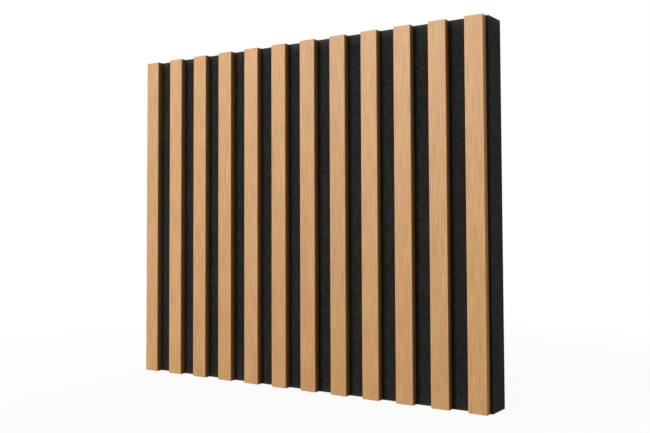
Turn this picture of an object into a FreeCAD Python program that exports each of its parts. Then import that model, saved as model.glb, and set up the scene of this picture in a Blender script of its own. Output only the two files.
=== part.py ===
# Acoustic slat wall panel: upright wood slats glued in an even row to a thick felt slab.
# The front faces -Y, +X is to the right and +Z is up. The origin is the centre of the
# felt's flat back, which lies against the wall. Sizes are in millimetres.

import FreeCAD, Part
import Sketcher

import os

# alias, value, what the value is
SIZES = [
    ("panel_height", 500.0, "length of the felt slab and of every slat"),
    ("felt_thickness", 38.0, "felt slab, front to back"),
    ("felt_margin", 4.25, "felt left bare outside the first and the last slat"),
    ("felt_arris", 0.8, "radius of the felt's soft cut edges"),
    ("slat_count", 12, "slats in the row"),
    ("slat_pitch", 51.5, "centre to centre of two neighbouring slats"),
    ("slat_width", 25.0, "slat, side to side"),
    ("slat_thickness", 10.0, "slat, from the felt to its show face"),
    ("slat_arris", 0.6, "radius of the two long edges of the show face"),
]

doc = FreeCAD.newDocument("SlatPanel")

sheet = doc.addObject("Spreadsheet::Sheet", "Sizes")
for row, (alias, value, meaning) in enumerate(SIZES, start=1):
    sheet.set(f"A{row}", alias)
    sheet.set(f"B{row}", str(value))
    sheet.setAlias(f"B{row}", alias)
    sheet.set(f"C{row}", meaning)

# The row of slats fixes the width of the felt under it
row_width = "(Sizes.slat_count - 1) * Sizes.slat_pitch"
felt_width = f"{row_width} + Sizes.slat_width + 2 * Sizes.felt_margin"
first_axis = f"-({row_width}) / 2"
doc.recompute()


def add_section(body, name, width, depth):
    """A rectangle on the body's XY plane, centred on X, with its rear side on the X axis."""
    sketch = body.newObject("Sketcher::SketchObject", name)
    plane = next(item for item in body.Origin.OriginFeatures if item.Role == "XY_Plane")
    sketch.AttachmentSupport = [(plane, "")]
    sketch.MapMode = "FlatFace"

    # A unit square, drawn anticlockwise from the rear left corner, sized by its constraints
    corners = [(-1, 0), (-1, -1), (1, -1), (1, 0)]
    points = [FreeCAD.Vector(x, y, 0) for x, y in corners]
    for start, end in zip(points, points[1:] + points[:1]):
        sketch.addGeometry(Part.LineSegment(start, end), False)
    left, front, right, rear = range(4)
    for line, following in [(left, front), (front, right), (right, rear), (rear, left)]:
        sketch.addConstraint(Sketcher.Constraint("Coincident", line, 2, following, 1))
    sketch.addConstraint(Sketcher.Constraint("Vertical", left))
    sketch.addConstraint(Sketcher.Constraint("Vertical", right))
    sketch.addConstraint(Sketcher.Constraint("Horizontal", front))
    sketch.addConstraint(Sketcher.Constraint("Horizontal", rear))
    sketch.addConstraint(Sketcher.Constraint("Symmetric", rear, 1, rear, 2, -1, 1))

    across = sketch.addConstraint(Sketcher.Constraint("DistanceX", front, 1, front, 2, 2.0))
    sketch.renameConstraint(across, "width")
    sketch.setExpression("Constraints.width", width)
    deep = sketch.addConstraint(Sketcher.Constraint("DistanceY", left, 2, left, 1, 1.0))
    sketch.renameConstraint(deep, "depth")
    sketch.setExpression("Constraints.depth", depth)
    return sketch


def add_upright(body, width, depth):
    """The section raised to the panel's height."""
    upright = body.newObject("PartDesign::Pad", body.Name + "_upright")
    upright.Profile = add_section(body, body.Name + "_section", width, depth)
    upright.setExpression("Length", "Sizes.panel_height")
    doc.recompute()
    return upright


def edges_where(shape, wanted):
    """Names of the straight edges whose middle and direction suit the wanted test."""
    names = []
    for number, edge in enumerate(shape.Edges, start=1):
        start, end = [vertex.Point for vertex in edge.Vertexes]
        if wanted((start + end) / 2, (end - start).normalize()):
            names.append(f"Edge{number}")
    return names


def round_over(body, base, edges, radius):
    """The chosen edges of the base feature rounded to a radius from the sheet."""
    rounding = body.newObject("PartDesign::Fillet", body.Name + "_arris")
    rounding.Base = (base, edges)
    rounding.setExpression("Radius", radius)
    body.Tip = rounding
    return rounding


# Felt slab: one block, cut square, its edges soft all round
felt = doc.addObject("PartDesign::Body", "felt_backing")
felt.Label = "felt_backing"
felt_block = add_upright(felt, felt_width, "Sizes.felt_thickness")
every_edge = edges_where(felt_block.Shape, lambda middle, direction: True)
round_over(felt, felt_block, every_edge, "Sizes.felt_arris")
felt.setExpression("Placement.Base.z", "-Sizes.panel_height / 2")

# Slats: square at the ends and at the back, the show face eased along both long edges
slats = []
for number in range(1, int(sheet.slat_count) + 1):
    name = f"slat_{number:02d}"
    slat = doc.addObject("PartDesign::Body", name)
    slat.Label = name
    stick = add_upright(slat, "Sizes.slat_width", "Sizes.slat_thickness")
    show_face = stick.Shape.BoundBox.YMin
    long_edges = edges_where(
        stick.Shape,
        lambda middle, direction: abs(direction.z) > 0.9 and abs(middle.y - show_face) < 0.01,
    )
    round_over(slat, stick, long_edges, "Sizes.slat_arris")
    slat.setExpression("Placement.Base.x", f"{first_axis} + {number - 1} * Sizes.slat_pitch")
    slat.setExpression("Placement.Base.y", "-Sizes.felt_thickness")
    slat.setExpression("Placement.Base.z", "-Sizes.panel_height / 2")
    slats.append(slat)

doc.recompute()
for item in doc.Objects:
    if "Invalid" in item.State or "Error" in item.State:
        raise RuntimeError(f"{item.Name} did not build: {item.State}")

os.makedirs("parts", exist_ok=True)
for body in [felt] + slats:
    shape = body.Shape
    if shape.isNull() or not shape.isValid() or len(shape.Solids) != 1:
        raise RuntimeError(f"{body.Label} is not one sound solid")
    shape.exportStep(f"parts/{body.Label}.step")
    box = shape.BoundBox
    print(f"{body.Label}: {box.XLength:.2f} x {box.YLength:.2f} x {box.ZLength:.2f} at x {box.Center.x:.2f}")
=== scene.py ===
# %% [markdown]
# Acoustic slat wall panel
#
# Twelve upright wood slats stand in an even row on a thick slab of black felt. The felt
# swallows the sound that goes in between the slats, so the panel is half furniture and
# half cushion: satin wood in front, a dense mat of fibres behind. Its shapes come ready
# from the solid model. This lesson gives them their surfaces, then sets up the camera,
# the floor and the light.

import math

import bmesh
import bpy
from mathutils import Matrix, Vector


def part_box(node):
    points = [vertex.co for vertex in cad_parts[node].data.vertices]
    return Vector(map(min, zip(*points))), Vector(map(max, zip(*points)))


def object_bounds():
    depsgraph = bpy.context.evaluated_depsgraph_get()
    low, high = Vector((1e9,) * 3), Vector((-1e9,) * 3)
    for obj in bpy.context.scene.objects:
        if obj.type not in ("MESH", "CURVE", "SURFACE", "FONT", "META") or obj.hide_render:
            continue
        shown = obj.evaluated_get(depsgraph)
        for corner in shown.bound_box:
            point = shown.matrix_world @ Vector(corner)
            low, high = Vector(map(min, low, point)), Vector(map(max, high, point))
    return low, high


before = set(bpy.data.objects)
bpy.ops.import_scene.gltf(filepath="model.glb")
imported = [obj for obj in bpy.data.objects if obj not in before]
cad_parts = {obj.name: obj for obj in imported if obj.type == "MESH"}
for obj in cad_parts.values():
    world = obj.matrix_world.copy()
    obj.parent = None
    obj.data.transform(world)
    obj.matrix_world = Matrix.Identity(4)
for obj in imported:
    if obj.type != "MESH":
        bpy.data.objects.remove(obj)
solid_low, solid_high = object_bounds()
slat_names = sorted(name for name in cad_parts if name.startswith("slat_"))
print("pieces:", len(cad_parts), "of which slats:", len(slat_names))
print("size in metres:", [round(edge, 4) for edge in solid_high - solid_low])

# %% [markdown]
# The wood finish has to know where a slat begins and ends, so that no two slats show the
# same grain and each has its own arris and sawn ends. These measures could be typed in
# again, but then they would go stale when the model changes. They are read from the
# pieces' own boxes instead, and turned into millimetres, which suit wood and felt.

# %% Measures of the row
MM = 0.001  # one millimetre in Blender's metres

first_low, first_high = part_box(slat_names[0])
second_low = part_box(slat_names[1])[0]
slat_pitch = (second_low.x - first_low.x) / MM
slat_width = (first_high.x - first_low.x) / MM
slat_end = first_high.z / MM
show_face = first_low.y / MM
first_middle = (first_low.x + first_high.x) / 2 / MM
print(f"slats {slat_width:.1f} mm wide, {slat_pitch:.1f} mm apart, show face at y {show_face:.1f}")

felt_low, felt_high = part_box("felt_backing")
felt_side, felt_end = felt_high.x / MM, felt_high.z / MM
felt_front, felt_back = felt_low.y / MM, felt_high.y / MM
print(f"felt {2 * felt_side:.0f} x {2 * felt_end:.0f} mm, {felt_back - felt_front:.0f} mm thick")

# %% [markdown]
# The camera stands to the right of the panel, level with its middle, and looks a little
# over a third of a right angle to the left. Blender's camera looks down its own -Z, with
# +X to the right and +Y up. It could be aimed by a Track To constraint, but a matrix made
# of those three directions also holds a slight roll, and it leaves nothing live. The
# upright edges draw apart a little towards the bottom, so the lens looks slightly up, and
# the frame is moved down again with the camera's shift, which crops the picture and
# changes no angle.

# %% Camera
CAMERA_PLACE = (0.7134, -1.0221, -0.0083)  # m
SENSOR_WIDTH = 36  # mm
LENS = 46.36  # mm
SHIFT_UP = -0.0483  # of the picture's width
turn_left = math.radians(33.99)
look_up = math.radians(2.387)
roll = math.radians(0.225)

forward = Vector((-math.sin(turn_left) * math.cos(look_up),
                  math.cos(turn_left) * math.cos(look_up),
                  math.sin(look_up)))
level_right = forward.cross(Vector((0, 0, 1))).normalized()
level_up = level_right.cross(forward)
right = math.cos(roll) * level_right - math.sin(roll) * level_up
up = math.sin(roll) * level_right + math.cos(roll) * level_up

camera_data = bpy.data.cameras.new("camera")
camera_data.sensor_width = SENSOR_WIDTH
camera_data.lens = LENS
camera_data.shift_y = SHIFT_UP
camera = bpy.data.objects.new("camera", camera_data)
camera.matrix_world = Matrix((right, up, -forward)).transposed().to_4x4()
camera.location = CAMERA_PLACE
bpy.context.scene.collection.objects.link(camera)
bpy.context.scene.camera = camera
print("camera is", round((camera.location - solid_high).length, 2), "m from the near top corner")

# %% [markdown]
# A finish is a graph of nodes. Clicking it together is fine once, but sums such as
# `1 - mask` become three clicks and two links each, and nobody can read them afterwards.
# This class wraps a socket, so that ordinary arithmetic adds the Math nodes. `fade` is
# the one that finishes use most: a soft mask from any measure.

# %% Sums on sockets
class Value:
    """What a node's socket gives. Arithmetic on it adds Math nodes to the same tree."""

    def __init__(self, nodes, socket):
        self.nodes = nodes
        self.socket = socket

    def math(self, operation, *terms):
        return self.nodes.node("ShaderNodeMath", {"operation": operation}, dict(enumerate(terms)))

    def __add__(self, other):
        return self.math("ADD", self, other)

    def __radd__(self, other):
        return self.math("ADD", other, self)

    def __sub__(self, other):
        return self.math("SUBTRACT", self, other)

    def __rsub__(self, other):
        return self.math("SUBTRACT", other, self)

    def __mul__(self, other):
        return self.math("MULTIPLY", self, other)

    def __rmul__(self, other):
        return self.math("MULTIPLY", other, self)

    def __truediv__(self, other):
        return self.math("DIVIDE", self, other)

    def __abs__(self):
        return self.math("ABSOLUTE", self)

    def floor(self):
        return self.math("FLOOR", self)

    def fraction(self):
        return self.math("FRACT", self)

    def root(self):
        return self.math("SQRT", self)

    def least(self, other):
        return self.math("MINIMUM", self, other)

    def most(self, other):
        return self.math("MAXIMUM", self, other)

    def fade(self, start, end):
        """0 at start, 1 at end and beyond it, with a smooth rise. start may be the larger."""
        return self.nodes.node(
            "ShaderNodeMapRange",
            {"interpolation_type": "SMOOTHSTEP"},
            {"Value": self, "From Min": start, "From Max": end},
        )

    def also(self, output):
        """Another output of the same node."""
        return Value(self.nodes, self.nodes.find(self.socket.node.outputs, output))


# %% [markdown]
# The other nodes come from one method, `node`. It takes the settings first, because some
# of them change which sockets a node has, and the sockets' values or links after that.
# The methods below it are short names for what both finishes use. Object coordinates are
# the panel's own, so a pattern stays on its piece wherever the panel is put.

# %% A tree of nodes
class Nodes:
    """One node tree, of a material or of the world."""

    def __init__(self, tree):
        self.tree = tree
        tree.nodes.clear()

    @staticmethod
    def find(sockets, key):
        if isinstance(key, int):
            return sockets[key]
        by_identifier = {socket.identifier: socket for socket in sockets}
        return by_identifier.get(key) or sockets[key]

    def node(self, kind, settings=None, sockets=None, output=0):
        """Adds a node: its settings, then its sockets' values or links. Gives one output."""
        made = self.tree.nodes.new(kind)
        for name, setting in (settings or {}).items():
            setattr(made, name, setting)
        for key, given in (sockets or {}).items():
            socket = self.find(made.inputs, key)
            if isinstance(given, Value):
                self.tree.links.new(given.socket, socket)
            else:
                socket.default_value = given
        return Value(self, self.find(made.outputs, output)) if made.outputs else made

    def millimetres(self):
        """The surface point in the panel's own frame, as X, Y and Z in millimetres."""
        place = self.node("ShaderNodeTexCoord", output="Object")
        x = self.node("ShaderNodeSeparateXYZ", sockets={"Vector": place}, output="X")
        return x / MM, x.also("Y") / MM, x.also("Z") / MM

    def point(self, x, y, z):
        return self.node("ShaderNodeCombineXYZ", sockets={"X": x, "Y": y, "Z": z})

    def noise(self, place, detail=2.0, roughness=0.5, distortion=0.0):
        """Cloudy noise, around 0.5, one cloud to a unit of place."""
        return self.node(
            "ShaderNodeTexNoise",
            sockets={"Vector": place, "Scale": 1.0, "Detail": detail,
                     "Roughness": roughness, "Distortion": distortion},
        )

    def blend(self, amount, below, above):
        """Colours mixed by amount: 0 gives below and 1 gives above."""
        return self.node(
            "ShaderNodeMix",
            {"data_type": "RGBA"},
            {"Factor_Float": amount, "A_Color": below, "B_Color": above},
            "Result_Color",
        )

    def bump(self, height, depth):
        """Height from 0 to 1 as relief of that depth in millimetres."""
        return self.node(
            "ShaderNodeBump", sockets={"Height": height, "Distance": depth * MM, "Strength": 1.0},
        )


# %% [markdown]
# Wood and felt are described by colours from a paint chart, 0 to 255. Shaders reckon in
# linear light, in which the same chart looks far too pale, so each colour goes through
# the curve that screens use. A new finish is a material whose own tree is still empty.

# %% Colours and new finishes
def colour(red, green, blue):
    """A paint chart's colour, 0 to 255, in the linear light that shaders use."""
    def linear(step):
        share = step / 255
        return share / 12.92 if share <= 0.04045 else ((share + 0.055) / 1.055) ** 2.4
    return linear(red), linear(green), linear(blue), 1.0


def new_finish(name):
    material = bpy.data.materials.new(name)
    material.use_nodes = True
    return material, Nodes(material.node_tree)


print("half of white on the chart, 128, is", round(colour(128, 128, 128)[0], 3), "in linear light")

# %% [markdown]
# The slats are a pale oak with straight grain. An image of veneer would tile, and would
# stretch over the ends. A solid pattern is better: it is worked out through the whole
# stick, so a ring that leaves the show face goes on over the arris and the side, and
# comes out as an arc on the sawn end. One material serves all the slats. A slat's number
# in the row gives it its own stretch of the log and its own three lucky numbers.

# %% Wood: where each point lies in its own log
LOG_STEP = 700.0  # mm along the log from one slat's piece to the next

wood_material, wood = new_finish("straight_grained_oak")
x, y, z = wood.millimetres()
row_place = (x - (first_middle - slat_pitch / 2)) / slat_pitch
number = row_place.floor()
across = (row_place.fraction() - 0.5) * slat_pitch
deep = y - show_face
log_z = z + number * LOG_STEP

luck = wood.node("ShaderNodeTexWhiteNoise", {"noise_dimensions": "1D"}, {"W": number + 0.5}, "Color")
luck_red = wood.node("ShaderNodeSeparateColor", sockets={"Color": luck}, output="Red")
luck_green, luck_blue = luck_red.also("Green"), luck_red.also("Blue")
print("slats are cut", LOG_STEP, "mm apart along the log")

# %% [markdown]
# A tree adds a ring each year: pale early wood, then a darker line of late wood. Where
# the heart of the trunk lies far behind the board, the rings cross the face as straight
# grain. Blender's Wave texture draws rings too, but as even as a target. Here the ring
# number is the distance from the heart divided by the ring's width, with slow noise in
# both, so that the rings stray and good years stand beside poor ones.

# %% Wood: year rings
RING_WIDTH = 2.6  # mm grown in a year
HEART_ASIDE = (45, 100)  # mm from a slat's middle to the heart of its tree, least and most
HEART_BEHIND = (25, 95)  # mm from the show face back to it, least and most
RING_STRAY = 16  # mm by which rings leave a true circle
STRAY_THICK, STRAY_LONG = 45, 230  # mm, size of one such bulge across and along the log
YEARS_STRAY = 5  # rings by which good and poor years shift the count
YEARS_THICK, YEARS_LONG = 6, 900  # mm, size of one good or poor spell
LATE_START, LATE_FULL, LATE_END = 0.05, 0.75, 0.88  # of a ring, where its dark line rises and ends
LUCK_STEP = 40  # how far luck moves a slat through the noise


def between(least_and_most, share):
    least, most = least_and_most
    return least + (most - least) * share


aside = across + between(HEART_ASIDE, luck_red)
behind = deep + between(HEART_BEHIND, luck_green)
bulge_place = wood.point(across / STRAY_THICK, deep / STRAY_THICK, log_z / STRAY_LONG)
stray = wood.noise(bulge_place) - 0.5
from_heart = (aside * aside + behind * behind).root() + RING_STRAY * stray
spell_place = wood.point(from_heart / YEARS_THICK, luck_blue * LUCK_STEP, log_z / YEARS_LONG)
good_years = wood.noise(spell_place, detail=1.0) - 0.5
ring = (from_heart / RING_WIDTH + YEARS_STRAY * good_years).fraction()
late_wood = ring.fade(LATE_START, LATE_FULL) * ring.fade(1.0, LATE_END)
print("about", round(slat_width / RING_WIDTH), "rings across a slat")

# %% [markdown]
# Between the rings lies what makes wood look like wood: fibres, soft streaks, short dark
# dashes and fine open pores. Each is much longer than it is thick, so each is noise drawn
# out along the log. Tilting each by hand would take a Mapping node apiece. All of them
# read `bent` instead, in which the grain already leans a little to and fro as it climbs.

# %% Wood: fibres, streaks, dashes and pores
LEAN = 6  # mm by which the grain bends aside
LEAN_THICK, LEAN_LONG = 80, 90  # mm, size of one bend
LEAN_STEP = 3.7  # from one slat to the next through the noise of the bends

bend_place = wood.point(across / LEAN_THICK, number * LEAN_STEP, log_z / LEAN_LONG)
lean = wood.noise(bend_place, detail=1.0) - 0.5
bent = across + LEAN * lean


def grain(thick, long, detail=2.0, roughness=0.5, start=0):
    """Noise along the log. Its lumps are thick across and long along, in millimetres."""
    place = wood.point(bent / thick + start, deep / thick, log_z / long)
    return wood.noise(place, detail, roughness)


fibre = grain(thick=0.48, long=26, detail=3.0, roughness=0.6)
streak = grain(thick=0.9, long=42)
cloud = grain(thick=16, long=60)
warmth = grain(thick=5, long=45, start=31)
# the two numbers of fade: at which level of the noise a dash or a pore begins and is full
dash = grain(thick=1.1, long=13, start=17).fade(0.54, 0.74)
pore = grain(thick=0.29, long=5.5, detail=1.0).fade(0.58, 0.70) * (1 - 0.75 * late_wood)
print("wood so far:", len(wood.tree.nodes), "nodes")

# %% [markdown]
# The slat has more than one surface. Its show face is planed and lacquered, the two long edges of the
# face are painted a little paler as a painted highlight, the sides are bare, and the ends show cut
# pores. Each could have a material slot of its own, but hard borders between slots are not how a
# highlight along an edge looks. The depth behind the show face and the distance from the middle say
# which surface a point is on, so each surface is a mask made by `fade`.

# %% Wood: the face, the arris, the sides and the sawn ends
# All in mm. The surface begins at the first distance and is full at the second
SAWN_FROM_END = (0.06, 0.02)
FACE_BEHIND_FRONT = (1.0, 0.6)
SIDE_BEHIND_FRONT = (0.4, 1.0)
ARRIS_BEHIND_FRONT = (1.0, 0.3)
ARRIS_FROM_SIDE = (1.3, 0.4)
END_PORE = 0.385  # width of one cut pore

sawn = (slat_end - abs(z)).fade(*SAWN_FROM_END)
face = deep.fade(*FACE_BEHIND_FRONT)
side = deep.fade(*SIDE_BEHIND_FRONT)
arris = (slat_width / 2 - abs(across)).fade(*ARRIS_FROM_SIDE) * deep.fade(*ARRIS_BEHIND_FRONT)
end_pore = wood.noise(wood.point(x / END_PORE, y / END_PORE, number)).fade(0.52, 0.66)
print("sawn ends from", round(slat_end - SAWN_FROM_END[0], 2), "mm up and down")

# %% [markdown]
# Oak is neither one brown nor a plain ramp from dark to light: part of it leans to straw yellow and
# part to rose. So there are two ramps, each from a dark to a pale tone, and slow noise chooses
# between them. Every pattern shifts the tone by its own share. Dashes, pores, the paler arris, which
# is a painted highlight, the darker sides, which are painted shade that deepens towards the felt, and
# the end grain are then laid over it, as one glazes wood by hand, with one Mix node a coat.

# %% Wood: colour
STRAW = colour(170, 126, 66), colour(201, 157, 95)
ROSE = colour(175, 121, 72), colour(206, 152, 100)
END_GRAIN = colour(176, 128, 78), colour(146, 99, 56)
DASH_BROWN, PORE_BROWN = colour(150, 104, 56), colour(128, 84, 44)
ARRIS_HIGHLIGHT, SIDE_SHADE_BROWN = colour(228, 196, 150), colour(84, 50, 20)
END_PORE_BROWN = colour(98, 64, 36)
MIDDLE_TONE = 0.54  # of a ramp that is dark at 0 and pale at 1
TONE_SHARES = [(late_wood, 0.14), (fibre, 1.2), (streak, 3.0), (cloud, 0.6), (luck_blue, 0.2)]
# painted shade on the slats' sides: how strong it is at the face's edge, and how much it deepens per
# mm towards the felt
SIDE_SHADE, SHADE_PER_MM = 0.44, 0.02  # at the face's edge, and how much more a mm further back

tone = MIDDLE_TONE
for pattern, share in TONE_SHARES:
    tone = tone + share * (pattern - 0.5)

wood_colour = wood.blend(warmth.fade(0.33, 0.67), wood.blend(tone, *STRAW), wood.blend(tone, *ROSE))
# each coat: its strength times the mask of where it lies, what is below it, and its colour
wood_colour = wood.blend(0.45 * dash, wood_colour, DASH_BROWN)
wood_colour = wood.blend(0.40 * pore, wood_colour, PORE_BROWN)
# painted highlight: the arris is painted paler, as where the edge catches the light
wood_colour = wood.blend(0.20 * arris, wood_colour, ARRIS_HIGHLIGHT)
# painted shade: the sides are painted a darker brown, darker still towards the felt where the shade
# between the slats is deepest
wood_colour = wood.blend((SIDE_SHADE + SHADE_PER_MM * deep) * side, wood_colour, SIDE_SHADE_BROWN)

end_colour = wood.blend(0.5 * end_pore, wood.blend(late_wood, *END_GRAIN), END_PORE_BROWN)
wood_colour = wood.blend(sawn, wood_colour, end_colour)
print("wood with its colour:", len(wood.tree.nodes), "nodes")

# %% [markdown]
# A clear satin lacquer lies on the show face and over the arris only. The sides and the
# ends are left matt. One shader could have its roughness painted, but lacquer is a layer
# of its own, and the coat is made for that: nearly full on the face, and 0 elsewhere. The
# fibres stand up by a few hundredths of a millimetre, which Bump shades well enough.

# %% Wood: relief, lacquer and shader
GRAIN_RELIEF = 0.07  # mm

relief = 0.55 * fibre + 0.25 * late_wood - 0.6 * pore - 0.8 * sawn * end_pore
wood_shader = wood.node(
    "ShaderNodeBsdfPrincipled",
    sockets={
        "Base Color": wood_colour,
        "Roughness": 0.60 + 0.10 * pore + 0.16 * sawn - 0.08 * late_wood,
        "Specular IOR Level": 0.12,
        "Coat Weight": 0.9 * face * (1 - sawn),
        "Coat Roughness": 0.50,
        "Coat IOR": 1.48,
        "Normal": wood.bump(relief, GRAIN_RELIEF),
    },
)
wood.node("ShaderNodeOutputMaterial", sockets={"Surface": wood_shader})

for name in slat_names:
    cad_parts[name].data.materials[0] = wood_material
print("oak on", len(slat_names), "slats,", len(wood.tree.nodes), "nodes")

# %% [markdown]
# Needled felt is a mat of crimped fibres that lie every way. Up close it is a tangle of
# threads. It could be grown as hair, but that would take millions of strands for
# something that is mostly seen from a distance. Stretched noise is cheaper: the line
# where it passes through its middle value is long and thin like a fibre. Five such lays,
# each turned another way, make the tangle. The Mapping node works in its texture mode,
# because it then sizes the noise before it turns it.

# %% Felt: threads that lie every way
THREAD = (0.45, 0.45, 4.0)  # width, depth and length of the noise's lumps, in mm
LAYS = [(0.15, 0.25, 0), (-0.2, 0.85, 0), (0.1, 1.5, 0), (0.3, 2.1, 0), (-0.15, 2.75, 0)]  # radians
THREAD_LINE = 0.06  # how far from its middle value the noise still counts as thread

felt_material, felt = new_finish("needled_felt")
felt_x, felt_y, felt_z = felt.millimetres()
felt_place = felt.point(felt_x, felt_y, felt_z)


def lumps(size, turn=(0, 0, 0), **look):
    """Noise in the felt whose lumps have that size in millimetres."""
    place = felt.node("ShaderNodeMapping", {"vector_type": "TEXTURE"},
                      {"Vector": felt_place, "Rotation": turn, "Scale": size})
    return felt.noise(place, **look)


tangle = None
for turn in LAYS:
    thread = abs(lumps(THREAD, turn, detail=1.0, distortion=0.5) - 0.5).fade(THREAD_LINE, 0)
    tangle = thread if tangle is None else tangle.most(thread)
print("threads in", len(LAYS), "lays")

# %% [markdown]
# From further off the threads melt together, and felt is a dark cloth with small clumps,
# a few pale flecks where a loop of fibre catches the light, and wide patches where the
# mat is denser. The sides, where the mat is cut through, are speckled more finely. One
# noise with much detail would hold all these sizes, but not each at its own strength and
# in its own place, so each is a noise of its own.

# %% Felt: clumps, speckle, flecks and patches
CLUMP = (4.0, 4.0, 4.0)  # mm, as are the next three
SPECKLE = (1.7, 1.7, 1.7)
FLECK = (0.9, 0.9, 1.2)
PATCH = (70, 70, 70)
FLECK_TURN = (0.7, 1.2, 0.3)  # radians, so that no fleck stands upright
FLECK_LEVELS = (0.71, 0.78)  # of the noise, where a fleck begins and is full: few points reach it

clump = lumps(CLUMP, detail=3.0, roughness=0.6)
speckle = lumps(SPECKLE, detail=1.0)
fleck = lumps(FLECK, FLECK_TURN, detail=1.0).fade(*FLECK_LEVELS)
patch = lumps(PATCH, detail=4.0, roughness=0.6, distortion=0.6)
print("felt so far:", len(felt.tree.nodes), "nodes")

# %% [markdown]
# The slab is cut with a knife, and the speckle belongs to its cut sides alone. The rim, where an end
# face meets any other face, is painted paler as a painted highlight where the edge catches the light.
# At the top this painted light reaches over the last centimetre, as if lit from above. At the lower
# end little more than the rim itself is pale. A point is as far from the rim as it is from the end or
# from the nearest other face, whichever is more.

# %% Felt: the cut sides and the painted light on the rim
CUT_SKIN = (0.7, 0.1)  # mm in from the cut, where its speckle begins and is full
RIM, UPPER_GLOW_REACH = 5, 15  # mm to which the rim's painted paleness and the painted light at the top reach
MIDDLE = 30  # mm up and down in which the lower half goes over into the upper one

from_side = felt_side - abs(felt_x)
from_end = felt_end - abs(felt_z)
from_flat = (felt_y - felt_front).least(felt_back - felt_y)
cut = from_side.least(from_end).fade(*CUT_SKIN)
from_rim = from_end.most(from_side.least(from_flat))
upper_half = felt_z.fade(-MIDDLE, MIDDLE)
# painted light: the felt is paler along its rim, and over a wider band at the top
rim_glow = 0.45 * from_rim.fade(RIM, 0) + (0.25 + 0.3 * upper_half) * from_rim.fade(UPPER_GLOW_REACH, 0)
print("rims at z", -felt_end, "and", felt_end)

# %% [markdown]
# Black felt isn't black: in the light it is a charcoal, and its threads stand out from
# the hollows. It has hardly any gloss, only a breath of sheen where fibres stand up
# against the light. Real displacement would need a mesh as fine as a thread. Bump costs
# nothing, and at half a millimetre the eye can't tell it from relief.

# %% Felt: colour, relief and shader
HOLLOW, CHARCOAL = colour(17, 17, 17), colour(66, 66, 65)
PALE_FIBRE_HIGHLIGHT = colour(104, 104, 100)
FELT_RELIEF = 0.5  # mm

# from 0 in a hollow to 1 on a charcoal thread, and each pattern's share of it
felt_tone = 0.12 + 0.36 * tangle + 1.05 * (clump - 0.5) + 0.3 * (patch - 0.5)
felt_tone = felt_tone + 1.5 * cut * (speckle - 0.5)
felt_colour = felt.blend(felt_tone, HOLLOW, CHARCOAL)
felt_colour = felt.blend(0.9 * fleck, felt_colour, PALE_FIBRE_HIGHLIGHT)
# painted light on the rim, strongest on the threads
felt_colour = felt.blend(rim_glow * (0.20 + 0.28 * tangle), felt_colour, PALE_FIBRE_HIGHLIGHT)
felt_shader = felt.node(
    "ShaderNodeBsdfPrincipled",
    sockets={
        "Base Color": felt_colour,
        "Roughness": 0.95,
        "Specular IOR Level": 0.03,
        "Sheen Weight": 0.02,
        "Sheen Roughness": 0.6,
        "Normal": felt.bump(0.6 * tangle + 0.8 * clump, FELT_RELIEF),
    },
)
felt.node("ShaderNodeOutputMaterial", sockets={"Surface": felt_shader})
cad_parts["felt_backing"].data.materials[0] = felt_material
print("felt on the slab,", len(felt.tree.nodes), "nodes")

# %% [markdown]
# The panel stands on a white sheet that has no visible end. A white sheet lit until it
# burns out would also light the panel. Instead it is white only where the eye or a
# reflection sees it, through the Light Path node, and stays a plain pale grey for the
# light that falls on the panel. Near the panel the sheet keeps a trace of its shadow.

# %% Floor
SHEET_RADIUS = 30.0  # m
SHADOW_KEPT = 0.07  # share of the sheet's own shading that is seen near the panel
SHADOW_REACH = (1000, 400)  # mm from the middle, where the shadow begins and is full
PAPER_GREY, FULL_WHITE = colour(225, 225, 225), colour(255, 255, 255)


def seen(nodes):
    """1 for what the camera sees, straight or in a reflection or through glass."""
    eye = nodes.node("ShaderNodeLightPath", output="Is Camera Ray")
    return eye.most(eye.also("Is Glossy Ray")).most(eye.also("Is Transmission Ray"))


sheet_material, sheet = new_finish("white_sheet")
sheet_x, sheet_y = sheet.millimetres()[:2]
from_panel = (sheet_x * sheet_x + sheet_y * sheet_y).root()
shadow_kept = SHADOW_KEPT * from_panel.fade(*SHADOW_REACH)
paper = sheet.node("ShaderNodeBsdfDiffuse", sockets={"Color": PAPER_GREY})
white = sheet.node("ShaderNodeEmission", sockets={"Color": FULL_WHITE, "Strength": 1.0})
sheet_seen = sheet.node("ShaderNodeMixShader", sockets={
    0: seen(sheet) * (1 - shadow_kept), 1: paper, 2: white})
sheet.node("ShaderNodeOutputMaterial", sockets={"Surface": sheet_seen})

floor_mesh = bpy.data.meshes.new("floor")
shape = bmesh.new()
bmesh.ops.create_circle(shape, cap_ends=True, cap_tris=False, segments=64, radius=SHEET_RADIUS)
bmesh.ops.translate(shape, verts=shape.verts, vec=(0, 0, solid_low.z))
shape.to_mesh(floor_mesh)
shape.free()
floor_mesh.materials.append(sheet_material)
floor = bpy.data.objects.new("floor", floor_mesh)
bpy.context.scene.collection.objects.link(floor)
print("floor at z", round(floor_mesh.vertices[0].co.z, 3))

# %% [markdown]
# The world around the sheet is made the same way: white to the eye, but only a faint sky
# as light. A brighter sky would be simpler to light by, but it shines into the gaps from
# everywhere and washes out the dark line beside each slat.

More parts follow.
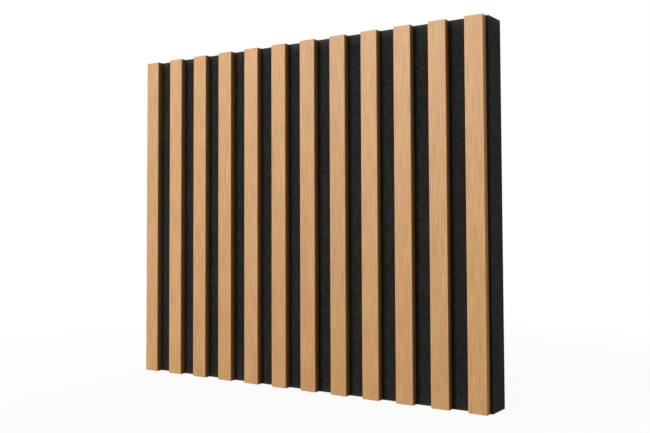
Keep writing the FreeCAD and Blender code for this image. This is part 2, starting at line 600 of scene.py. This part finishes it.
# %% World
SKY_LIGHT = 0.07  # of full white

world = bpy.data.worlds.new("studio")
bpy.context.scene.world = world
world.use_nodes = True
sky = Nodes(world.node_tree)
sky_seen = sky.node("ShaderNodeBackground", sockets={
    "Color": FULL_WHITE, "Strength": SKY_LIGHT + (1 - SKY_LIGHT) * seen(sky)})
sky.node("ShaderNodeOutputWorld", sockets={"Surface": sky_seen})
print("sky light", SKY_LIGHT)

# %% [markdown]
# A large soft lamp stands to the left, a little above the panel, so that the right sides
# of the slats fall into shade and each slat draws a soft dark line on the felt beside it.
# Its reflection in the lacquer lies near the top, and pales the wood there. A sun lamp
# would do this too, but its hard shadows would cut across the felt. A small lamp on the
# right stands almost in the panel's own plane: it picks out the side of the felt and of
# the last slat and hardly touches the faces. The third, behind and above, is for the back.

# %% Lamps
def soft_lamp(name, turn, rise, distance, side, power):
    """A square lamp, turn degrees right of the panel's front and rise degrees above it.

    Its distance from the panel's middle and its side are in metres, its power in watts.
    """
    data = bpy.data.lights.new(name, "AREA")
    data.shape = "SQUARE"
    data.size = side
    data.energy = power
    lamp = bpy.data.objects.new(name, data)
    turn, rise = math.radians(turn), math.radians(rise)
    away = Vector((math.sin(turn) * math.cos(rise), -math.cos(turn) * math.cos(rise), math.sin(rise)))
    lamp.location = (solid_low + solid_high) / 2 + away * distance
    lamp.rotation_mode = "QUATERNION"
    lamp.rotation_quaternion = away.to_track_quat("Z", "Y")
    bpy.context.scene.collection.objects.link(lamp)
    print(name, "at", [round(coordinate, 2) for coordinate in lamp.location])


soft_lamp("key_lamp", turn=-26, rise=23, distance=5.0, side=2.4, power=232)
soft_lamp("side_lamp", turn=86, rise=6, distance=2.6, side=0.9, power=19)
soft_lamp("back_lamp", turn=-155, rise=38, distance=4.0, side=2.0, power=110)

# %% [markdown]
# Blender's usual view transform bends bright colours towards white, as film does. Here
# the wood should come out in the colours that were written for it, so the view is plain.

# %% Colours as they are
bpy.context.scene.view_settings.view_transform = "Standard"
print("view transform:", bpy.context.scene.view_settings.view_transform)
